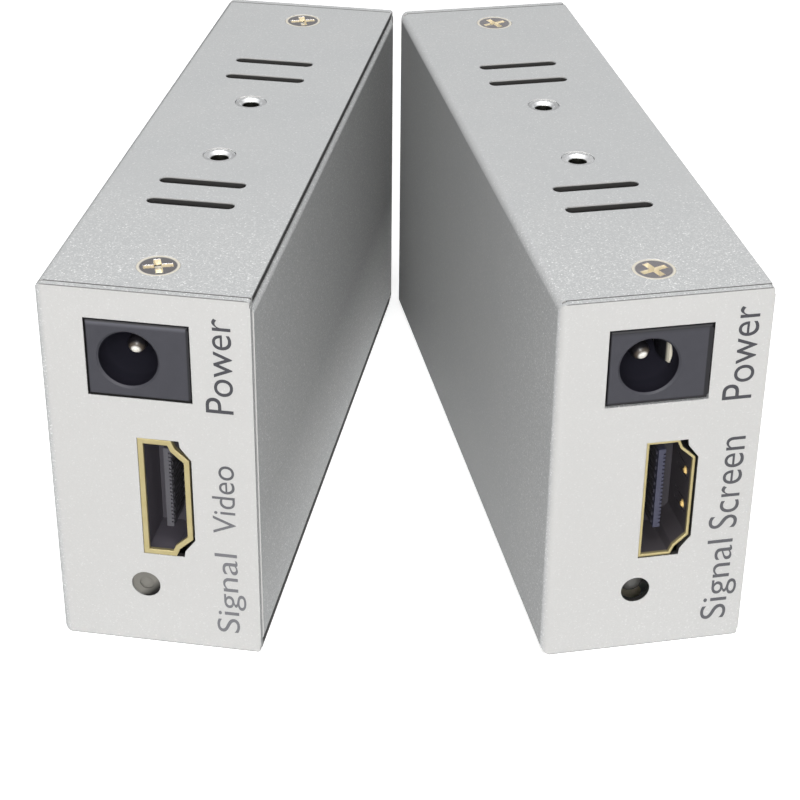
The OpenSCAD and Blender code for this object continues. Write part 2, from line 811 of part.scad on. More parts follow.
// Place of a wire across the network socket, from its middle
function wire_across(i) = (i - (wire_count - 1) / 2) * wire_pitch;

// Moulded body of the network socket, with slots for the eight spring wires
module lan_housing(level) {
  tall = lan_tall - lan_skin - fit_gap;
  wide = lan_wide - 2 * lan_skin - 2 * fit_gap;
  ceiling = lan_floor + lan_latch_key_tall + lan_latch_tall + lan_plug_tall;
  color("#26272a") far_socket(level, middle) difference() {
    translate([0, lan_skin, -wide / 2]) cube([tall, lan_deep - 2 * lan_skin - fit_gap, wide]);
    along_depth(0, lan_cavity_deep) plug_outline();
    at_lamps() translate([-slip, 0, -slip])
      cube([lamp_tall + 2 * slip + fit_gap, lan_skin + lamp_deep + slip, lamp_wide + 2 * slip]);
    for (i = [0 : wire_count - 1])
      translate([ceiling - slip, wire_start - wire_slack, wire_across(i) - wire_slot / 2])
        cube([wire + wire_travel, wire_end - wire_start + 2 * wire_slack, wire_slot]);
    lan_pins(slip);
  }
}

// Eight spring wires: each is rooted near the mouth and slopes into the plug's space
module lan_contacts(level) {
  ceiling = lan_floor + lan_latch_key_tall + lan_latch_tall + lan_plug_tall;
  root = ceiling + wire / 2 + wire_slack;
  color("#d9b55f") far_socket(level, middle) for (i = [0 : wire_count - 1])
    translate([0, 0, wire_across(i) - wire / 2]) linear_extrude(wire)
      polygon([
        [root, wire_start], [root + wire, wire_start], [root + wire, wire_start + wire],
        [root + wire - wire_dip, wire_end], [root - wire_dip, wire_end]
      ]);
}

// Solder pins of the network socket, in two staggered rows
module lan_pins(grow) {
  pin = leg + 2 * grow;
  for (i = [0 : wire_count - 1])
    translate([-board_thick - tab_reach, pin_first + (i % 2) * pin_step - pin / 2,
      wire_across(i) - pin / 2])
      cube([board_thick + tab_reach + lan_floor / 2 + grow, pin, pin]);
}

module lan_terminals(level) {
  color("#cfcbc0") far_socket(level, middle) lan_pins(0);
}

// Two indicator windows in the network socket's face
module lan_lamps(level) {
  color("#cfe3b8") far_socket(level, middle)
    at_lamps() cube([lamp_tall, lan_skin + lamp_deep, lamp_wide]);
}

// Main converter chip with legs on four sides
module main_chip(level) {
  body = chip - 2 * chip_leg;
  legs = body - 2 * chip_edge;
  color("#232426") on_board(level, chip_place) {
    chip_block(chip_tall, body, body, chip_leg_tall / 2);
    chip_block(chip_leg_tall, chip, legs);
    chip_block(chip_leg_tall, legs, chip);
  }
}

// Transformer block between the network socket and the chip
module line_transformer(level) {
  color("#1f2022") on_board(level, transformer_place) {
    chip_block(transformer_tall, transformer_long - 2 * chip_leg, transformer_wide);
    chip_block(chip_leg_tall, transformer_long, transformer_wide - 2 * chip_edge);
  }
}

// Two smoothing capacitors, each a can on a square base
module capacitors(level) {
  color("#b9bcc0") for (i = [0, 1]) on_board(level, can_place + [i * can_pitch, 0]) {
    chip_block(can_base, can_base_wide, can_base_wide);
    rotate([0, 90, 0]) cylinder(r = can_r, h = can_tall);
  }
}

// Shielded coil of the power supply
module power_inductor(level) {
  color("#4a4b4e") on_board(level, coil_place) rotate([0, 90, 0])
    linear_extrude(coil_tall) rounded_outline(coil, coil, coil_corner);
}

// Timing crystal in its oval can
module crystal(level) {
  color("#d0d1d0") on_board(level, crystal_place) rotate([90, 0, 90])
    linear_extrude(crystal_tall) rounded_outline(crystal_long, crystal_wide, crystal_wide / 2 - slip);
}

// Voltage regulator with its cooling tab
module voltage_regulator(level) {
  color("#2a2b2d") on_board(level, regulator_place) {
    chip_block(regulator_tall, regulator_wide, regulator_long);
    translate([0, -regulator_wide / 2 - regulator_tab, 0])
      chip_block(regulator_tab_tall, 2 * regulator_tab, regulator_long - 2 * chip_edge);
  }
}

// One unit's pieces: all of them, or the one that node names
function shown(unit, piece) = node == "all" || node == str(unit, "_", piece);

module unit_pieces(unit, level, rim, mouth, led_tip) {
  if (shown(unit, "cover")) cover(level);
  if (shown(unit, "base_plate")) base_plate();
  if (shown(unit, "cover_screws")) cover_screws();
  if (shown(unit, "bracket_nuts")) bracket_nuts();
  if (shown(unit, "main_board")) main_board(level);
  if (shown(unit, "board_standoffs")) board_standoffs(level);
  if (shown(unit, "board_screws")) board_screws(level);
  if (shown(unit, "jack_housing")) jack_housing(level);
  if (shown(unit, "jack_pin")) jack_pin(level);
  if (shown(unit, "jack_spring")) jack_spring(level);
  if (shown(unit, "jack_terminals")) jack_terminals(level);
  if (shown(unit, "hdmi_shell")) hdmi_shell(level, rim, mouth);
  if (shown(unit, "hdmi_insulator")) hdmi_insulator(level);
  if (shown(unit, "hdmi_contacts")) hdmi_contacts(level);
  if (shown(unit, "status_led")) status_led(level, led_tip);
  if (shown(unit, "led_legs")) led_legs(level, led_tip);
  if (shown(unit, "lan_shield")) lan_shield(level);
  if (shown(unit, "lan_housing")) lan_housing(level);
  if (shown(unit, "lan_contacts")) lan_contacts(level);
  if (shown(unit, "lan_terminals")) lan_terminals(level);
  if (shown(unit, "lan_lamps")) lan_lamps(level);
  if (shown(unit, "main_chip")) main_chip(level);
  if (shown(unit, "line_transformer")) line_transformer(level);
  if (shown(unit, "capacitors")) capacitors(level);
  if (shown(unit, "power_inductor")) power_inductor(level);
  if (shown(unit, "crystal")) crystal(level);
  if (shown(unit, "voltage_regulator")) voltage_regulator(level);
}

at_transmitter()
  unit_pieces("transmitter", transmitter_level, transmitter_rim, transmitter_mouth, transmitter_led_tip);
at_receiver() unit_pieces("receiver", receiver_level, receiver_rim, receiver_mouth, receiver_led_tip);
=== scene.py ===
"""Dresses the transmitter and the receiver of a picture-signal extender: a material for every CAD node,
printed words on the socket ends, a ring round the transmitter's lamp, and the studio they stand in."""

import json
import math

import bpy
import numpy as np
from mathutils import Matrix, Vector


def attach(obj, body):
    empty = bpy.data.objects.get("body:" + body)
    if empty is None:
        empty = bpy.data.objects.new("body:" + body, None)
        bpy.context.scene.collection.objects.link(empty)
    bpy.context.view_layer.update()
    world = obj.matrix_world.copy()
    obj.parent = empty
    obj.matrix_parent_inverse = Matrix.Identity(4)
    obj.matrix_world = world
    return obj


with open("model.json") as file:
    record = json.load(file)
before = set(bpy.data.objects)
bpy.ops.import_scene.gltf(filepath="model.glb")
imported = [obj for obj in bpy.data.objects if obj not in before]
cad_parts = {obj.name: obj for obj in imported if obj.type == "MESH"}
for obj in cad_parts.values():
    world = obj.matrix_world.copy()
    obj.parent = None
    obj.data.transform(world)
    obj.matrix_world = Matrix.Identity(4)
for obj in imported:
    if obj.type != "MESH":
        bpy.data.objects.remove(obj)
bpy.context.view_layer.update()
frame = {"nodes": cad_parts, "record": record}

MM = 0.001
UNITS = ("transmitter", "receiver")
MOUNTS = {row["name"]: row for row in frame["record"]["mounts"]}


# ---- each unit's own frame ----
# It is in mm: x runs across the socket end from the cover's large face, y runs from the socket end to the
# network end, and z runs up the socket end.
def corners(name):
    """The corners of a CAD node's mesh in the row frame, in metres, one a row."""
    mesh = frame["nodes"][name].data
    points = np.zeros(len(mesh.vertices) * 3)
    mesh.vertices.foreach_get("co", points)
    return points.reshape(-1, 3)


def unit_matrix(unit):
    """The matrix that takes a unit's own frame into the row frame. It turns the way the picture socket
    faces, and puts the origin where the planes of the cover's large face and of the socket end meet."""
    axis = MOUNTS[f"{unit}_hdmi_socket"]["axis"]
    turn = Matrix.Rotation(math.atan2(axis[0], -axis[1]), 4, "Z")
    low = (corners(f"{unit}_cover") @ np.array(turn.to_3x3())).min(axis=0)
    corner = turn @ Vector((low[0], low[1], 0))
    return Matrix.Translation(corner) @ turn @ Matrix.Diagonal((MM, MM, MM, 1))


UNIT_FRAME = {unit: unit_matrix(unit) for unit in UNITS}


def placed(unit, x, y, z):
    """Points of a unit's own frame, given as three arrays, in the row frame, one a row."""
    points = np.column_stack((x, y, z, np.ones(len(x))))
    return (points @ np.array(UNIT_FRAME[unit]).T)[:, :3]


def unit_box(unit, piece):
    """The lowest and the highest corner of a CAD piece in its unit's own frame."""
    points = corners(f"{unit}_{piece}")
    points = np.column_stack((points, np.ones(len(points))))
    local = (points @ np.array(UNIT_FRAME[unit].inverted()).T)[:, :3]
    return local.min(axis=0), local.max(axis=0)


def axis_of(unit, piece):
    """Where the axis of a piece that runs along y crosses the socket end, as x and z."""
    low, high = unit_box(unit, piece)
    return (low[0] + high[0]) / 2, (low[2] + high[2]) / 2


BOX_LONG, BOX_WIDE = unit_box("transmitter", "cover")[1][1:]
LAMP = {unit: axis_of(unit, "status_led") for unit in UNITS}
SHEET = 0.8
SEAM = 0.15
SEAM_IN = SHEET + SEAM / 2
# The cover screws: how far their row is from the large face, and the outer ones are from the ends
SCREW_X = 11.8
SCREW_IN = 6.2
JACK_BORE = 3.2
# The two dimples of a picture socket: how deep they are, and how far apart
DIMPLE_Y = 2.1
DIMPLE_APART = 4.4


# ---- camera, from a fit to the corners, slots and sockets of both boxes ----
CAMERA_AT = (-0.64 * MM, -230.37 * MM, 144.96 * MM)
CAMERA_PITCH = 30.946
CAMERA_ROLL = 0.557
CAMERA_TURN = 0.058
FOCAL_PIXELS = 2067.9
PICTURE_PIXELS = 800
SENSOR = 36.0


def make_camera():
    """A camera that looks down by its pitch, to the right by its turn, and leans by its roll."""
    pitch, roll, turn = (math.radians(a) for a in (CAMERA_PITCH, CAMERA_ROLL, CAMERA_TURN))
    heading = Vector((math.sin(turn), math.cos(turn), 0))
    ahead = math.cos(pitch) * heading + Vector((0, 0, -math.sin(pitch)))
    level = Vector((math.cos(turn), -math.sin(turn), 0))
    upright = level.cross(ahead)
    right = math.cos(roll) * level + math.sin(roll) * upright
    up = math.cos(roll) * upright - math.sin(roll) * level
    axes = Matrix((right, up, -ahead)).transposed().to_4x4()
    data = bpy.data.cameras.new("camera")
    data.sensor_width = SENSOR
    data.lens = FOCAL_PIXELS / PICTURE_PIXELS * SENSOR
    data.clip_start = 0.01
    data.clip_end = 20
    camera = bpy.data.objects.new("camera", data)
    camera.matrix_world = Matrix.Translation(CAMERA_AT) @ axes
    bpy.context.scene.collection.objects.link(camera)
    bpy.context.scene.camera = camera


# ---- building materials ----
def tone(code):
    """An sRGB hex colour as linear red, green, blue and 1."""
    parts = [int(code[i:i + 2], 16) / 255 for i in (1, 3, 5)]
    return (*[p / 12.92 if p <= 0.04045 else ((p + 0.055) / 1.055) ** 2.4 for p in parts], 1)


def add(tree, kind, settings, output=0):
    """Adds a node and gives back one of its outputs. A setting names a property, or an input by its name
    or number. A socket is linked to the input, and a hex colour is turned to linear."""
    made = tree.nodes.new("ShaderNode" + kind)
    for name, value in settings.items():
        if isinstance(name, str) and name not in made.inputs:
            setattr(made, name, value)
        elif isinstance(value, bpy.types.NodeSocket):
            tree.links.new(value, made.inputs[name])
        else:
            made.inputs[name].default_value = tone(value) if isinstance(value, str) else value
    return made.outputs[output] if made.outputs else made


def start(name):
    """A new material, its empty node tree, and its Object coordinates in metres."""
    made = bpy.data.materials.new(name)
    made.use_nodes = True
    tree = made.node_tree
    tree.nodes.clear()
    return made, tree, add(tree, "TexCoord", {}, "Object")


def finish(made, settings):
    """Gives a material its shader, set and linked as the settings say."""
    shader = add(made.node_tree, "BsdfPrincipled", settings)
    add(made.node_tree, "OutputMaterial", {"Surface": shader})
    return made


def per_mm(size):
    """The texture scale that makes one feature this many millimetres wide."""
    return 1 / (size * MM)


def product(tree, first, *others):
    """Masks or other factors multiplied together."""
    for factor in others:
        first = add(tree, "Math", {"operation": "MULTIPLY", 0: first, 1: factor})
    return first


def where(tree, *limits):
    """A mask: the product of a ramp for each value, from the place where it is 0 to where it is 1."""
    return product(tree, *[
        add(tree, "MapRange", {0: value, 1: none, 2: full}) for value, none, full in limits])


def layers(tree, colour, *coats):
    """A colour with others laid over it, each with its cover, from 0 to 1."""
    for cover, coat in coats:
        colour = add(tree, "Mix", {"data_type": "RGBA", 0: cover, 6: colour, 7: coat}, 2)
    return colour


def relief(tree, radius, height, strength, depth):
    """A skin with edges rounded by this radius and a relief of this depth, both in mm."""
    rounded = add(tree, "Bevel", {"samples": 4, "Radius": radius * MM})
    return add(tree, "Bump", {
        "Strength": strength, "Distance": depth * MM, "Height": height, "Normal": rounded})


def unit_place(tree, place, unit):
    """The x, y and z of a point in its unit's own frame, from its Object coordinates."""
    x, y, z = UNIT_FRAME[unit].translation / MM
    turn = math.atan2(UNIT_FRAME[unit][1][0], UNIT_FRAME[unit][0][0])
    shifted = add(tree, "VectorMath", {
        "operation": "MULTIPLY_ADD", 0: place, 1: (1 / MM, 1 / MM, 1 / MM), 2: (-x, -y, -z)})
    turned = add(tree, "VectorRotate", {"rotation_type": "Z_AXIS", "Vector": shifted, "Angle": -turn})
    return add(tree, "SeparateXYZ", {0: turned}).node.outputs


def apart(tree, first, second):
    """How far apart two places are on one axis."""
    step = add(tree, "Math", {"operation": "SUBTRACT", 0: first, 1: second})
    return add(tree, "Math", {"operation": "ABSOLUTE", 0: step})


def distance(tree, across, up, axis):
    """How far a point is from an axis, from its two places and the axis's."""
    offset = add(tree, "CombineXYZ", {
        0: add(tree, "Math", {"operation": "SUBTRACT", 0: across, 1: axis[0]}),
        1: add(tree, "Math", {"operation": "SUBTRACT", 0: up, 1: axis[1]})})
    return add(tree, "VectorMath", {"operation": "LENGTH", 0: offset}, "Value")


def under_side(tree, z):
    """How deep a point lies under the nearer narrow side."""
    return add(tree, "Math", {
        "operation": "SUBTRACT", 0: BOX_WIDE / 2, 1: apart(tree, z, BOX_WIDE / 2)})


def below_lamp(tree, unit, x, z):
    """How much further a point lies to the lamp's right than above it, so that it grows down and right."""
    right = add(tree, "Math", {"operation": "SUBTRACT", 0: x, 1: LAMP[unit][0]})
    above = add(tree, "Math", {"operation": "SUBTRACT", 0: z, 1: LAMP[unit][1]})
    return add(tree, "Math", {"operation": "SUBTRACT", 0: right, 1: above})


# ---- paint ----
# The tone of the rim of the lamp's hole above, where it is lit, and below, in painted shade
HOLE_RIM_LIGHT_AND_SHADE = {"transmitter": ("#8b8a87", "#2d2c2b"), "receiver": ("#333232", "#2d2c2b")}


def painted_shade_edges(tree, unit, x, y, z, coat):
    """The paint's colour with painted shade: the cut edges of slots, holes and windows are painted dark,
    and the seam behind each end flange carries a fainter line of painted shadow. The arris of each end
    flange is drawn as a darker line, just as faint. All the places in the masks are in mm."""
    deep = under_side(tree, z)
    end = add(tree, "Math", {
        "operation": "SUBTRACT", 0: BOX_LONG / 2, 1: apart(tree, y, BOX_LONG / 2)})
    # painted shade: the walls of the slots and the cut edges of the windows are painted dark
    slots = where(tree, (deep, 0.10, 0.22), (x, 1.2, 1.6), (end, 1.2, 1.6))
    windows = where(
        tree, (y, 0.06, 0.12), (y, 1.0, 0.9), (deep, 1.2, 1.6), (x, 20.0, 19.0), (x, 1.2, 1.6))
    if unit == "receiver":
        # the sill of the power window catches the light
        sill = unit_box(unit, "jack_housing")[0][2]
        windows = product(tree, windows, where(tree, (apart(tree, z, sill), 0.4, 0.5)))
    cut = add(tree, "Math", {"operation": "MAXIMUM", 0: slots, 1: windows})
    # painted light and shade on the rim of the lamp's hole: lit above, dark at its lower right
    upper, lower = HOLE_RIM_LIGHT_AND_SHADE[unit]
    rim = layers(tree, upper, (where(tree, (below_lamp(tree, unit, x, z), 0.6, 1.6)), lower))
    near_lamp = where(tree, (distance(tree, x, z, LAMP[unit]), 2.2, 2.1))
    edge = layers(tree, "#3d3c3b", (near_lamp, rim))
    # a darker line along each end flange's arris, and painted shadow in the seam behind it
    arris = where(tree, (end, 0.11, 0.05), (deep, 0.11, 0.05))
    seam = where(tree, (apart(tree, end, SEAM_IN), 0.13, 0.09), (deep, 0.30, 0.20), (x, 0.5, 0.7))
    lines = add(tree, "Math", {"operation": "MAXIMUM", 0: arris, 1: seam})
    return layers(tree, coat, (cut, edge), (product(tree, lines, 0.75), "#5a5a58"))


def silver_paint(unit=None):
    """Silver powder coat on folded steel: a sandy skin with aluminium flakes that glint. Real flakes are
    about 0.04 mm across. They are drawn at 0.13 mm, so that a pixel shows them. Their glints are painted
    into the colour as pale and white specks, and its darkening at the flattest look is painted shade."""
    made, tree, place = start(f"silver_powder_coat_{unit or 'base'}")
    sand = add(tree, "TexNoise", {"Vector": place, "Scale": per_mm(0.34), "Detail": 3.0, "Roughness": 0.6})
    flakes = add(tree, "TexVoronoi", {"Vector": place, "Scale": per_mm(0.13)}, "Color")
    glint = add(tree, "SeparateColor", {0: flakes})
    cloud = add(tree, "TexNoise", {"Vector": place, "Scale": per_mm(9.0), "Detail": 3.0})
    facing = add(tree, "LayerWeight", {"Blend": 0.5}, "Facing")
    # the flakes lie flat in the powder, so they catch the light only at a glancing look; their painted
    # glints show only there
    glancing = add(tree, "MapRange", {0: facing, 1: 0.22, 2: 0.5, 3: 0.12, 4: 1.0})
    body = layers(tree, "#c4c3c1", (glancing, layers(tree, "#bec0c1", (cloud, "#c5c6c6"))))
    painted_glint_share = glancing
    if unit:
        # the painted glints show most towards the socket end
        x, y, z = unit_place(tree, place, unit)
        painted_glint_share = product(tree, glancing, add(tree, "MapRange", {0: y, 1: 5.0, 2: 28.0, 3: 1.0, 4: 0.3}))
    # painted glints: pale and white specks in the colour stand in for the flakes catching the light
    painted_flake_sheen = add(tree, "MapRange", {0: glint, 3: -0.48, 4: 0.46})
    spark = add(tree, "MapRange", {0: glint, 1: 0.95, 2: 0.99, 4: 0.75})
    coat = layers(
        tree, body, (product(tree, painted_flake_sheen, painted_glint_share), "#f4f4f3"), (product(tree, spark, painted_glint_share), "#ffffff"))
    if unit:
        coat = painted_shade_edges(tree, unit, x, y, z, coat)
    # painted shade: metallic paint goes dark at the flattest look, as its flakes turn their edges, and this
    # is painted into the colour, more strongly further back; on the base plates it fades in from 2 to 18 mm
    # above the floor
    spot = add(tree, "SeparateXYZ", {0: place}).node.outputs
    flat = add(tree, "MapRange", {0: facing, 1: 0.72, 2: 0.86, 4: 0.58})
    back = add(tree, "MapRange", {0: spot["Y"], 1: -40 * MM, 2: 40 * MM, 3: 0.85, 4: 1.45})
    painted_flop_shade = product(tree, flat, back)
    if not unit:
        painted_flop_shade = product(tree, painted_flop_shade, where(tree, (spot["Z"], 2 * MM, 18 * MM)))
    height = add(tree, "Math", {"operation": "MULTIPLY_ADD", 0: glint, 1: 0.30, 2: sand})
    return finish(made, {
        "Base Color": layers(tree, coat, (painted_flop_shade, "#4c4d4d")), "Metallic": 0.08,
        "Normal": relief(tree, 0.10, height, 0.25, 0.05), "Specular IOR Level": 0.12,
        "Roughness": add(tree, "MapRange", {0: sand, 1: 0.3, 2: 0.7, 3: 0.64, 4: 0.56})})


# ---- metals ----
def plated(name, low, high, rough):
    """Plated sheet or turned metal: mirror-like, clouded by handling, with fine tool lines."""
    made, tree, place = start(name)
    cloud = add(tree, "TexNoise", {"Vector": place, "Scale": per_mm(3.0), "Detail": 4.0, "Roughness": 0.6})
    lines = add(tree, "TexNoise", {"Vector": place, "Scale": per_mm(0.12)})
    return finish(made, {
        "Base Color": layers(tree, low, (cloud, high)), "Metallic": 1.0,
        "Normal": relief(tree, 0.05, lines, 0.05, 0.02),
        "Roughness": add(tree, "MapRange", {0: cloud, 1: 0.3, 2: 0.7, 3: rough - 0.06, 4: rough + 0.08})})


def zinc_nuts():
    """Bright zinc on the pressed-in nuts: a white satin collar round a threaded bore painted dark as shade.
    """
    made, tree, place = start("bright_zinc_plated_steel")
    cloud = add(tree, "TexNoise", {"Vector": place, "Scale": per_mm(3.0), "Detail": 4.0, "Roughness": 0.6})
    height = product(tree, add(tree, "SeparateXYZ", {0: place}, "Z"), 1 / MM)
    # painted shade: the nut deeper than about half a millimetre under the narrow side is painted dark
    nut_bore_shade = where(tree, (under_side(tree, height), 0.42, 0.52))
    return finish(made, {
        "Base Color": layers(tree, "#eceef0", (cloud, "#ffffff"), (nut_bore_shade, "#4a4a44")), "Metallic": 1.0,
        "Normal": relief(tree, 0.08, cloud, 0.05, 0.02),
        "Roughness": add(tree, "MapRange", {0: cloud, 1: 0.3, 2: 0.7, 3: 0.36, 4: 0.5})})


# The two tones of the screws' heads, and how much of a mirror they are
SCREW_HEAD = {"transmitter": ("#b0adb1", "#c4c1c2", 1.0), "receiver": ("#a9a5a9", "#c8c4c6", 0.8)}


def screw_steel(unit):
    """Nickel-plated screws: a flat head that mirrors the dark room above, a bright rolled rim that is a
    painted highlight, and a cross recess that looks gilt, a painted reflection."""
    made, tree, place = start(f"nickel_plated_screw_steel_{unit}")
    x, y, z = unit_place(tree, place, unit)
    deep = under_side(tree, z)
    far = distance(tree, x, apart(tree, y, BOX_LONG / 2), (SCREW_X, BOX_LONG / 2 - SCREW_IN))
    cloud = add(tree, "TexNoise", {"Vector": place, "Scale": per_mm(0.8), "Detail": 3.0, "Roughness": 0.6})
    low, high, mirror = SCREW_HEAD[unit]
    # painted highlight on the head's rim, and painted reflection in its cross recess
    rim = (1.95, 2.1)
    recess = (0.09, 0.14)
    head = layers(
        tree, low, (cloud, high), (where(tree, (far, *rim)), "#fbf5e6"),
        (where(tree, (deep, *recess)), "#f8efd8"))
    metal = add(tree, "Math", {
        "operation": "SUBTRACT",
        0: add(tree, "MapRange", {0: far, 1: rim[0], 2: rim[1], 3: mirror, 4: 0.5}),
        1: add(tree, "MapRange", {0: deep, 1: recess[0], 2: recess[1], 4: 0.5})})
    rough = add(tree, "Math", {
        "operation": "ADD",
        0: add(tree, "MapRange", {0: far, 1: rim[0], 2: rim[1], 3: 0.22, 4: 0.5}),
        1: add(tree, "MapRange", {0: deep, 1: recess[0], 2: recess[1], 4: 0.15})})
    return finish(made, {
        "Base Color": head, "Metallic": metal, "Roughness": rough,
        "Normal": relief(tree, 0.12, cloud, 0.1, 0.02)})


# How far the painted highlight on a pin's tip lies to the right of its middle and below it
PIN_HIGHLIGHT = {"transmitter": (0.05, 0.35), "receiver": (0.12, 0.3)}


def plated_pin(unit):
    """Nickel-plated jack pin: its domed tip is painted with a reflection of the white floor in its lower
    half and with the shade of the dark bore above. The tip is too small to mirror the floor by itself, so
    its painted spot also glows a little."""
    made, tree, place = start(f"nickel_plated_pin_{unit}")
    x, _, z = unit_place(tree, place, unit)
    axis = axis_of(unit, "jack_pin")
    right, down = PIN_HIGHLIGHT[unit]
    # painted reflection and shade on the tip, round its painted highlight
    far = distance(tree, x, z, (axis[0] + right, axis[1] - down))
    cloud = add(tree, "TexNoise", {"Vector": place, "Scale": per_mm(0.5), "Detail": 3.0})
    return finish(made, {
        "Base Color": layers(
            tree, "#efeadb", (cloud, "#ffffff"), (where(tree, (far, 0.38, 0.62)), "#5f564c"),
            (where(tree, (far, 0.7, 1.0)), "#1c1a1d")),
        "Metallic": 0.0, "Roughness": 0.35, "Emission Color": "#fff8e0",
        "Emission Strength": add(tree, "MapRange", {0: far, 1: 0.5, 2: 0.3, 4: 0.12})})


def spring_leaf(unit):
    """The jack's spring leaf: bronze painted dark as shade. The receiver's outer edge carries a painted
    highlight, where it catches the light.
    """
    made, tree, place = start(f"spring_leaf_bronze_{unit}")
    cloud = add(tree, "TexNoise", {"Vector": place, "Scale": per_mm(0.5), "Detail": 3.0})
    # painted shade: the bronze is drawn nearly black
    shade = layers(tree, "#1b1a1f", (cloud, "#242328"))
    if unit == "receiver":
        # painted highlight along the receiver's outer edge
        edge = unit_box(unit, "jack_spring")[1][0]
        x = unit_place(tree, place, unit)["X"]
        shade = layers(tree, shade, (where(tree, (x, edge - 1.0, edge - 0.85)), "#f6f0dd"))
    return finish(made, {"Base Color": shade, "Metallic": 0.2, "Roughness": 0.45})


# ---- what lies in the sockets ----
# For each piece of a picture socket: its finish, the two tones at the mouth, the tone in the depth, which
# is painted shade, between which depths the light goes, how much of a metal it is, its roughness, and the
# radius of its edges. The contacts are painted dark as shade even at the mouth.
SOCKET_COATS = {
    "transmitter": {
        "hdmi_shell": ("flash_gilt_shell", "#c9b982", "#dacd9f", "#56525a", 0.25, 0.7, 0.8, 0.3, 0.2),
        "hdmi_insulator": ("moulded_tongue", "#504f55", "#59585e", "#4f4c53", 2.4, 3.4, 0.0, 0.5, 0.05),
        "hdmi_contacts": ("contacts_in_painted_shade", "#2a292d", "#302f33", "#2c2a2e", 2.4, 3.4, 0.0, 0.6, 0.05),
    },
    "receiver": {
        "hdmi_shell": ("flash_gilt_shell", "#d0bf86", "#e2d5a4", "#423e42", 0.25, 0.7, 0.8, 0.3, 0.2),
        "hdmi_insulator": ("moulded_tongue", "#3f4052", "#47485b", "#3c393e", 2.4, 3.4, 0.0, 0.5, 0.05),
        "hdmi_contacts": ("contacts_in_painted_shade", "#34333e", "#3b3a47", "#2c2a2e", 2.4, 3.4, 0.0, 0.6, 0.05),
    },
}


def in_socket(unit, piece):
    """A piece of a picture socket: bright at the mouth, and dull with depth, where painted shade darkens it
    as no light comes. The dimples of the receiver's spring fingers carry a painted highlight that stands
    out of the shade."""
    name, low, high, far, lit, unlit, metal, rough, radius = SOCKET_COATS[unit][piece]
    made, tree, place = start(f"{name}_{unit}")
    x, y, z = unit_place(tree, place, unit)
    cloud = add(tree, "TexNoise", {"Vector": place, "Scale": per_mm(1.5), "Detail": 3.0, "Roughness": 0.6})
    # painted shade: the colour darkens with depth
    depth = where(tree, (y, lit, unlit))
    # painted highlight on the receiver's dimples
    if unit == "receiver" and piece == "hdmi_shell":
        beside = apart(tree, z, axis_of(unit, piece)[1])
        off_dimple = distance(tree, y, beside, (DIMPLE_Y, DIMPLE_APART / 2))
        far = layers(tree, far, (where(tree, (off_dimple, 0.55, 0.42), (x, 12.0, 12.5)), "#ffd98c"))
    return finish(made, {
        "Base Color": layers(tree, low, (cloud, high), (depth, far)),
        "Normal": relief(tree, radius, cloud, 0.08, 0.02),
        "Metallic": add(tree, "MapRange", {0: depth, 3: metal, 4: 0.0}) if metal else 0.0,
        "Roughness": add(tree, "MapRange", {0: depth, 3: rough, 4: rough + 0.25})})


# How wide the dark margin of each jack's housing is on its left, right, bottom and top: there the rounded
# rim falls into the shade of its window, and that shade is painted. Then the tone of the lip along the top:
# a painted highlight on the transmitter, painted shade on the receiver.
JACK_SHADE_MARGIN = {"transmitter": (0.12, 0.28, 0.22, 0.25), "receiver": (0.16, 0.5, 0.45, 0.35)}
JACK_LIP_LIGHT_AND_SHADE = {"transmitter": "#66666e", "receiver": "#26252b"}


def jack_nylon(unit):
    """Black moulded nylon of the power jack: a satin face, a rounded rim in painted shade, a lip along the
    top painted lighter on the transmitter and darker on the receiver, and a bore painted dark, as it
    swallows the light."""
    made, tree, place = start(f"black_nylon_jack_{unit}")
    x, y, z = unit_place(tree, place, unit)
    low, high = unit_box(unit, "jack_housing")
    inward = [add(tree, "Math", {"operation": "SUBTRACT", 0: more, 1: less}) for more, less in (
        (x, low[0]), (high[0], x), (z, low[2]), (high[2], z))]
    # painted shade along the housing's edges
    margin = 0.0
    for step, wide in zip(inward, JACK_SHADE_MARGIN[unit]):
        edge = where(tree, (step, wide + 0.06, wide - 0.06))
        margin = add(tree, "Math", {"operation": "MAXIMUM", 0: margin, 1: edge})
    cloud = add(tree, "TexNoise", {"Vector": place, "Scale": per_mm(1.5), "Detail": 3.0, "Roughness": 0.6})
    fine = add(tree, "TexNoise", {"Vector": place, "Scale": per_mm(0.25), "Detail": 3.0, "Roughness": 0.6})
    # the lip's painted light and shade along the top
    lip = product(tree, where(tree, (inward[3], 0.75, 0.45)), 0.5)
    far = distance(tree, x, z, axis_of(unit, "jack_pin"))
    bore = where(tree, (far, JACK_BORE + 0.06, JACK_BORE + 0.02))
    # painted shade in the bore, darkest at its mouth
    bore_shade = layers(tree, "#15141b", (where(tree, (y, 0.0, 3.0)), "#34333e"))
    return finish(made, {
        "Base Color": layers(
            tree, "#33333a", (cloud, "#3c3c43"), (lip, JACK_LIP_LIGHT_AND_SHADE[unit]), (margin, "#131217"),
            (bore, bore_shade)),
        "Normal": relief(tree, 0.12, fine, 0.12, 0.03),
        "Roughness": add(tree, "MapRange", {0: bore, 3: 0.5, 4: 0.9}),
        "Specular IOR Level": add(tree, "MapRange", {0: bore, 3: 0.5, 4: 0.05})})


# ---- plastics, resins and ink ----
def moulded(name, low, high, rough):
    """Moulded plastic: an even colour with the fine spark texture of its mould."""
    made, tree, place = start(name)
    fine = add(tree, "TexNoise", {"Vector": place, "Scale": per_mm(0.25), "Detail": 3.0, "Roughness": 0.6})
    cloud = add(tree, "TexNoise", {"Vector": place, "Scale": per_mm(4.0), "Detail": 3.0})
    return finish(made, {
        "Base Color": layers(tree, low, (cloud, high)), "Normal": relief(tree, 0.08, fine, 0.25, 0.03),
        "Roughness": add(tree, "MapRange", {0: fine, 1: 0.3, 2: 0.7, 3: rough - 0.07, 4: rough + 0.07})})


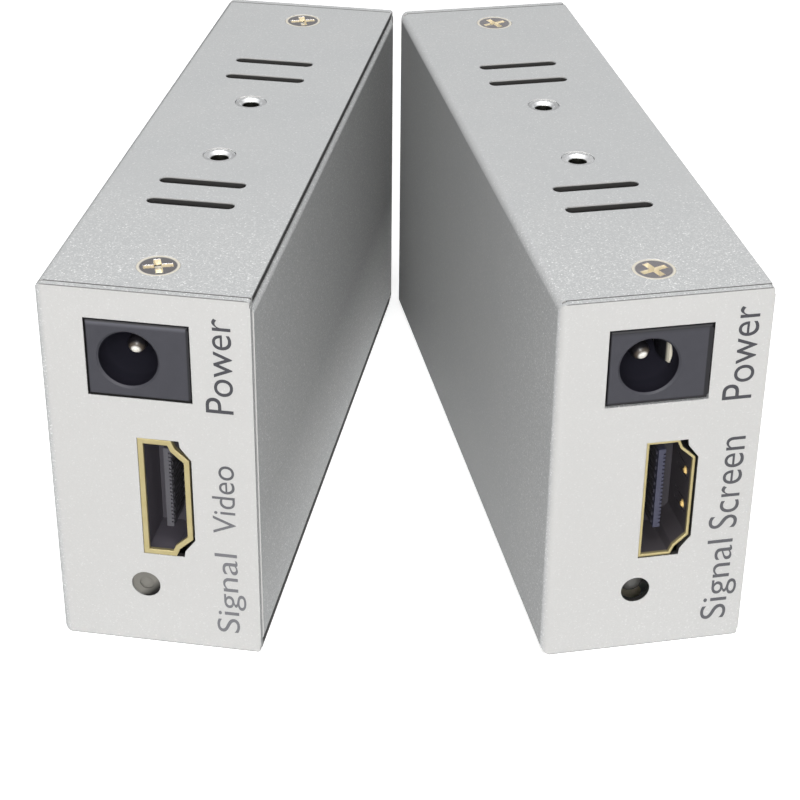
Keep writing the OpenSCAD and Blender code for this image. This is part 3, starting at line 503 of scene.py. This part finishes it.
# Each lamp's rim, painted shade; the two tones of its middle, the higher at its upper left as painted
# light;
# its roughness and gloss; and how much its upper rim glows, as painted light
LAMP_COAT = {
    "transmitter": ("#6d6c68", "#75736e", "#7e7c76", 0.7, 0.1, 0.8),
    "receiver": ("#2b2b2a", "#4a4947", "#5a5957", 0.25, 0.5, 0.0),
}


def lamp_resin(unit):
    """Cast epoxy lamp: a milky or smoky middle, painted lighter at its upper left, that darkens towards the
    rim of its hole as painted shade. A milky lamp's upper rim glows a little, as painted light."""
    rim, low, high, rough, gloss, glow = LAMP_COAT[unit]
    made, tree, place = start(f"lamp_epoxy_{unit}")
    x, _, z = unit_place(tree, place, unit)
    far = distance(tree, x, z, LAMP[unit])
    below = below_lamp(tree, unit, x, z)
    cloud = add(tree, "TexNoise", {"Vector": place, "Scale": per_mm(1.2), "Detail": 3.0})
    # painted light: lighter at the upper left, darker down and right
    painted_upper_light = add(tree, "MapRange", {0: below, 1: 1.6, 2: -1.6, 4: 0.7})
    heart = add(tree, "Math", {"operation": "MULTIPLY_ADD", 0: cloud, 1: 0.3, 2: painted_upper_light})
    settings = {
        "Base Color": layers(tree, low, (heart, high), (where(tree, (far, 1.2, 1.5)), rim)),
        "Roughness": rough, "Specular IOR Level": gloss}
    if glow:
        # painted light: the upper rim glows
        upper = add(tree, "MapRange", {0: below, 1: 1.2, 2: -0.2, 4: glow})
        settings["Emission Color"] = rim
        settings["Emission Strength"] = product(tree, where(tree, (far, 1.1, 1.4)), upper)
    return finish(made, settings)


def collar_resin(unit):
    """The milky ring round a lamp, painted dark as shade at its lower right."""
    made, tree, place = start("milky_lamp_collar")
    x, _, z = unit_place(tree, place, unit)
    cloud = add(tree, "TexNoise", {"Vector": place, "Scale": per_mm(1.2), "Detail": 3.0})
    # painted shade at the collar's lower right
    shade = where(tree, (below_lamp(tree, unit, x, z), 0.6, 1.9))
    return finish(made, {
        "Base Color": layers(tree, "#75736e", (cloud, "#7e7c76"), (shade, "#242322")), "Roughness": 0.7,
        "Specular IOR Level": 0.1})


def window_resin():
    """Milky light window of the network socket."""
    made, tree, place = start("milky_light_window")
    cloud = add(tree, "TexNoise", {"Vector": place, "Scale": per_mm(1.2), "Detail": 3.0})
    return finish(made, {
        "Base Color": layers(tree, "#d6dccd", (cloud, "#e8ecdf")), "Roughness": 0.3, "IOR": 1.54,
        "Transmission Weight": 0.2, "Coat Weight": 0.3, "Coat Roughness": 0.1})


def laminate():
    """Glass-cloth circuit board under green lacquer, with paler copper tracks beneath it."""
    made, tree, place = start("lacquered_glass_laminate")
    tracks = add(tree, "TexWave", {
        "Vector": place, "Scale": per_mm(9.0), "Distortion": 6.0, "Detail": 0.0}, "Fac")
    weave = add(tree, "TexNoise", {"Vector": place, "Scale": per_mm(0.4)})
    return finish(made, {
        "Base Color": layers(tree, "#11482d", (where(tree, (tracks, 0.45, 0.55)), "#1f6a40")),
        "Normal": add(tree, "Bump", {"Strength": 0.2, "Distance": 0.03 * MM, "Height": weave}),
        "Roughness": 0.32, "Coat Weight": 0.4, "Coat Roughness": 0.15})


# How much of the ink is left at the bottom of each unit
INK_LEAST = {"transmitter": 0.0, "receiver": 0.6}


def ink(unit):
    """Pad-printed dark grey ink: satin, slightly uneven, and thinner towards the bottom."""
    made, tree, place = start(f"pad_printed_ink_{unit}")
    mottle = add(tree, "TexNoise", {
        "Vector": place, "Scale": per_mm(0.35), "Detail": 3.0, "Roughness": 0.6})
    height = add(tree, "SeparateXYZ", {0: place}, "Z")
    full = add(tree, "MapRange", {0: height, 1: 14 * MM, 2: 30 * MM, 3: INK_LEAST[unit], 4: 1.0})
    dark = layers(tree, "#66666a", (full, "#333338"))
    pale = layers(tree, "#77777b", (full, "#47474c"))
    return finish(made, {"Base Color": layers(tree, dark, (mottle, pale)), "Roughness": 0.55})


# ---- dressing ----
def unit_coats(unit):
    """The materials that differ between the two units, or that follow a unit's own frame."""
    return {
        "cover": silver_paint(unit),
        "cover_screws": screw_steel(unit),
        "jack_housing": jack_nylon(unit),
        "jack_pin": plated_pin(unit),
        "jack_spring": spring_leaf(unit),
        "status_led": lamp_resin(unit),
        **{piece: in_socket(unit, piece) for piece in SOCKET_COATS[unit]},
    }


def dress_nodes():
    """Gives every CAD node its material, by its unit or by its material slot in the record."""
    coats = {
        "silver_paint": silver_paint(),
        "nickel_screws": plated("nickel_plated_board_screws", "#d8cba8", "#f0e6c8", 0.2),
        "zinc_nuts": zinc_nuts(),
        "board_laminate": laminate(),
        "black_nylon": moulded("black_moulded_nylon", "#3a3a3f", "#46464b", 0.48),
        "nickel_contacts": plated("nickel_plated_spring_bronze", "#b3aa97", "#cfc6b2", 0.28),
        "tinned_tabs": plated("tinned_brass", "#b9bab8", "#d5d5d2", 0.35),
        "gold_contacts": plated("gold_plated_contact_bronze", "#d9a441", "#f3cb6b", 0.2),
        "window_resin": window_resin(),
        "nickel_shield": plated("nickel_plated_shield_sheet", "#bfb9ab", "#ddd7c8", 0.28),
        "chip_resin": moulded("black_chip_epoxy", "#1b1b1d", "#262628", 0.6),
        "capacitor_can": plated("drawn_aluminium_can", "#b4b6b8", "#d5d7d9", 0.3),
        "ferrite_coil": moulded("grey_ferrite", "#2f3033", "#3e3f42", 0.55),
    }
    own = {unit: unit_coats(unit) for unit in UNITS}
    slots = {row["node"]: row["material_slot"] for row in frame["record"]["subparts"]}
    for name, node in frame["nodes"].items():
        unit, piece = name.split("_", 1)
        node.data.materials.clear()
        node.data.materials.append(own[unit].get(piece) or coats[slots[name]])


def show(unit, mesh, coat):
    """Puts a new mesh with its material into the scene, to ride with its unit."""
    mesh.materials.append(coat)
    piece = bpy.data.objects.new(mesh.name, mesh)
    bpy.context.scene.collection.objects.link(piece)
    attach(piece, unit)


# Each word, how high its middle is, how far its baseline is from the large face, its length, and the height
# of its capitals
WORDS = {
    "transmitter": (
        ("Power", 36.9, 21.0, 11.4, 3.2),
        ("Video", 20.2, 20.75, 8.8, 2.7),
        ("Signal", 7.7, 20.75, 10.75, 2.7),
    ),
    "receiver": (
        ("Power", 37.35, 21.7, 11.3, 3.5),
        ("Screen", 20.95, 21.6, 11.9, 3.4),
        ("Signal", 8.0, 21.4, 10.9, 3.1),
    ),
}
INK_THICK = 0.02
# The built-in font's capitals have this height, and its strokes come in by this much at size 1
CAP_HEIGHT = 0.72
STROKE_OFFSET = -0.003


def print_words(unit, coat):
    """Turns each word into a flat solid up the socket end: x = baseline - rise, y = -thickness share, and
    z = middle + run, with the run scaled to the word's length and the rise to its capitals."""
    for word, middle, baseline, length, tall in WORDS[unit]:
        data = bpy.data.curves.new(f"{unit}_{word.lower()}_word", "FONT")
        data.body = word
        data.align_x = "CENTER"
        data.extrude = 0.5
        data.offset = STROKE_OFFSET
        text = bpy.data.objects.new(data.name, data)
        bpy.context.scene.collection.objects.link(text)
        bpy.context.view_layer.update()
        mesh = bpy.data.meshes.new_from_object(text)
        mesh.name = data.name
        bpy.data.objects.remove(text)
        points = np.zeros(len(mesh.vertices) * 3)
        mesh.vertices.foreach_get("co", points)
        x, y, z = points.reshape(-1, 3).T
        run = (x - (x.max() + x.min()) / 2) * length / (x.max() - x.min())
        rise = y * tall / CAP_HEIGHT
        world = placed(unit, baseline - rise, -(z + 0.5) * INK_THICK, middle + run)
        mesh.vertices.foreach_set("co", world.astype(np.float32).ravel())
        mesh.update()
        show(unit, mesh, coat)


COLLAR_STEPS = 64
COLLAR_INNER, COLLAR_OUTER = 0.80, 1.62
COLLAR_NEAR, COLLAR_FAR = 0.30, 0.42


def lamp_collar(unit):
    """A flat ring that closes the gap between a lamp and its hole. A square is carried round the lamp's
    axis: its points are (x + r cos a, y, z + r sin a) for the angles a = 2 pi i / n."""
    rings = (
        (COLLAR_OUTER, COLLAR_NEAR), (COLLAR_INNER, COLLAR_NEAR),
        (COLLAR_INNER, COLLAR_FAR), (COLLAR_OUTER, COLLAR_FAR))
    here = np.arange(COLLAR_STEPS)
    angle = here * 2 * math.pi / COLLAR_STEPS
    radius, y = (np.repeat(values, COLLAR_STEPS) for values in zip(*rings))
    angles = np.tile(angle, len(rings))
    x, z = LAMP[unit]
    world = placed(unit, x + radius * np.cos(angles), y, z + radius * np.sin(angles))
    beyond = (here + 1) % COLLAR_STEPS
    starts = [(ring * COLLAR_STEPS, (ring + 1) % len(rings) * COLLAR_STEPS) for ring in range(len(rings))]
    faces = np.concatenate([
        np.column_stack((a + here, a + beyond, b + beyond, b + here)) for a, b in starts])
    mesh = bpy.data.meshes.new(f"{unit}_lamp_collar")
    mesh.from_pydata(world.tolist(), [], faces.tolist())
    mesh.update()
    show(unit, mesh, collar_resin(unit))


# ---- studio ----
# Each lamp's place and size in metres, and the share of full white that it gives a card at the object
SOFT_LAMPS = {
    "front_softbox": ((0.0, -1.1, 0.5), 0.5, 0.79),
    "top_softbox": ((0.0, -0.2, 1.3), 0.6, 0.57),
}
AIM = (0, 0, 0.02)
FLOOR_REACH = 3.0
FLOOR_GREY = 0.7
FLOOR_LIFT = 0.6


def soft_lamp(name, at, size, level):
    """A square lamp whose power is level pi^2 d^2, for the distance d to the object."""
    data = bpy.data.lights.new(name, "AREA")
    data.shape = "SQUARE"
    data.size = size
    away = Vector(at) - Vector(AIM)
    data.energy = level * math.pi ** 2 * away.length_squared
    lamp = bpy.data.objects.new(name, data)
    lamp.location = at
    lamp.rotation_euler = away.to_track_quat("Z", "Y").to_euler()
    bpy.context.scene.collection.objects.link(lamp)


def seen_ray(tree):
    """1 for a ray that shows the background itself: from the camera, or through glass."""
    path = add(tree, "LightPath", {}).node.outputs
    return add(tree, "Math", {
        "operation": "MAXIMUM", 0: path["Is Camera Ray"], 1: path["Is Transmission Ray"]})


def make_room():
    """A white room that is brighter on the camera's side, and darker above the far side in gloss."""
    world = bpy.data.worlds.new("studio_world")
    bpy.context.scene.world = world
    world.use_nodes = True
    tree = world.node_tree
    tree.nodes.clear()
    toward = add(tree, "SeparateXYZ", {0: add(tree, "TexCoord", {}, "Generated")}).node.outputs
    room = add(tree, "MapRange", {0: toward["Y"], 1: -1.0, 2: 1.0, 3: 0.28, 4: 0.12})
    behind = where(tree, (toward["Y"], 0.0, 0.4), (toward["Z"], 0.0, 0.3))
    glossy = add(tree, "MapRange", {0: behind, 3: 1.0, 4: 0.35})
    level = add(tree, "Mix", {0: add(tree, "LightPath", {}, "Is Glossy Ray"), 2: room, 3: glossy})
    level = add(tree, "Mix", {0: seen_ray(tree), 2: level, 3: 1.0})
    sky = add(tree, "Background", {"Color": (1, 1, 1, 1), "Strength": level})
    add(tree, "OutputWorld", {"Surface": sky})


def make_floor():
    """A flat pale floor that keeps the shadow, and is lifted to white where the camera sees it."""
    r = FLOOR_REACH
    mesh = bpy.data.meshes.new("floor")
    mesh.from_pydata([(-r, -r, 0), (r, -r, 0), (r, r, 0), (-r, r, 0)], [], [(0, 1, 2, 3)])
    made, tree, _ = start("pale_floor")
    matt = add(tree, "BsdfDiffuse", {"Color": (FLOOR_GREY, FLOOR_GREY, FLOOR_GREY, 1)})
    glow = add(tree, "Emission", {"Strength": product(tree, seen_ray(tree), FLOOR_LIFT)})
    add(tree, "OutputMaterial", {"Surface": add(tree, "AddShader", {0: matt, 1: glow})})
    mesh.materials.append(made)
    floor = bpy.data.objects.new("floor", mesh)
    bpy.context.scene.collection.objects.link(floor)


make_camera()
make_room()
make_floor()
for name, (at, size, level) in SOFT_LAMPS.items():
    soft_lamp(name, at, size, level)
dress_nodes()
lamp_collar("transmitter")
for unit in UNITS:
    print_words(unit, ink(unit))
bpy.context.scene.view_settings.view_transform = "Standard"
